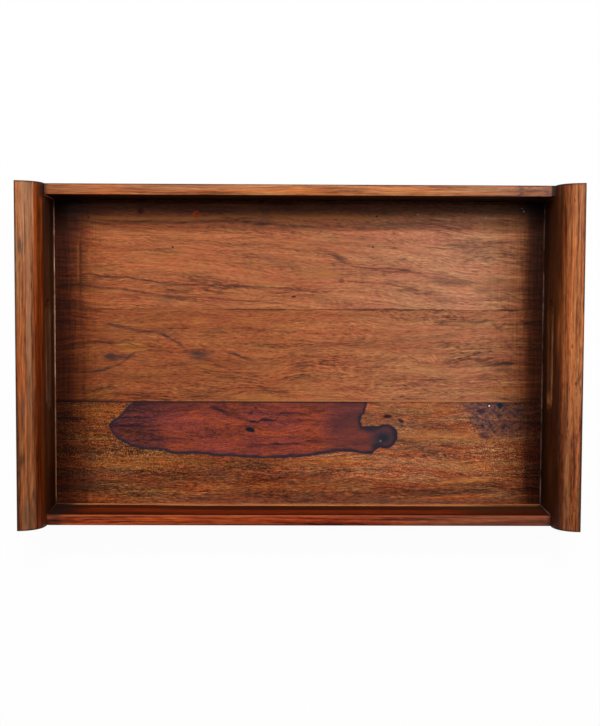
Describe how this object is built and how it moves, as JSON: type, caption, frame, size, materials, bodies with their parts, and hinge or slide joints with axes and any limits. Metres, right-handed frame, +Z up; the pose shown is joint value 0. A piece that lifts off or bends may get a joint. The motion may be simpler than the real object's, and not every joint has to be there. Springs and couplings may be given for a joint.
{
  "type": "serving tray",
  "caption": "Rectangular wooden serving tray with a boarded base, low rails, and moulded end boards that roll outward and have hand slots.",
  "frame": {"origin": "middle of the tray on the surface it stands on", "axes": "+X along the tray from the left end board to the right one, +Y towards the back rail, +Z up"},
  "size_m": [0.457, 0.2816, 0.0838],
  "materials": {
    "base_board_back": "satin lacquer",
    "base_board_middle": "satin lacquer",
    "base_board_front": "satin lacquer",
    "back_rail": "satin lacquer",
    "front_rail": "satin lacquer",
    "left_end_board": "satin lacquer",
    "right_end_board": "satin lacquer",
    "dowel": "bare, glued"
  },
  "bodies": {
    "root": {"base_board_back": "base_board_back", "base_board_middle": "base_board_middle", "base_board_front": "base_board_front", "back_rail": "back_rail", "front_rail": "front_rail", "left_end_board": "left_end_board", "right_end_board": "right_end_board", "dowel_left_back_low": "dowel", "dowel_left_back_high": "dowel", "dowel_left_front_low": "dowel", "dowel_left_front_high": "dowel", "dowel_right_back_low": "dowel", "dowel_right_back_high": "dowel", "dowel_right_front_low": "dowel", "dowel_right_front_high": "dowel"}
  },
  "joints": []
}
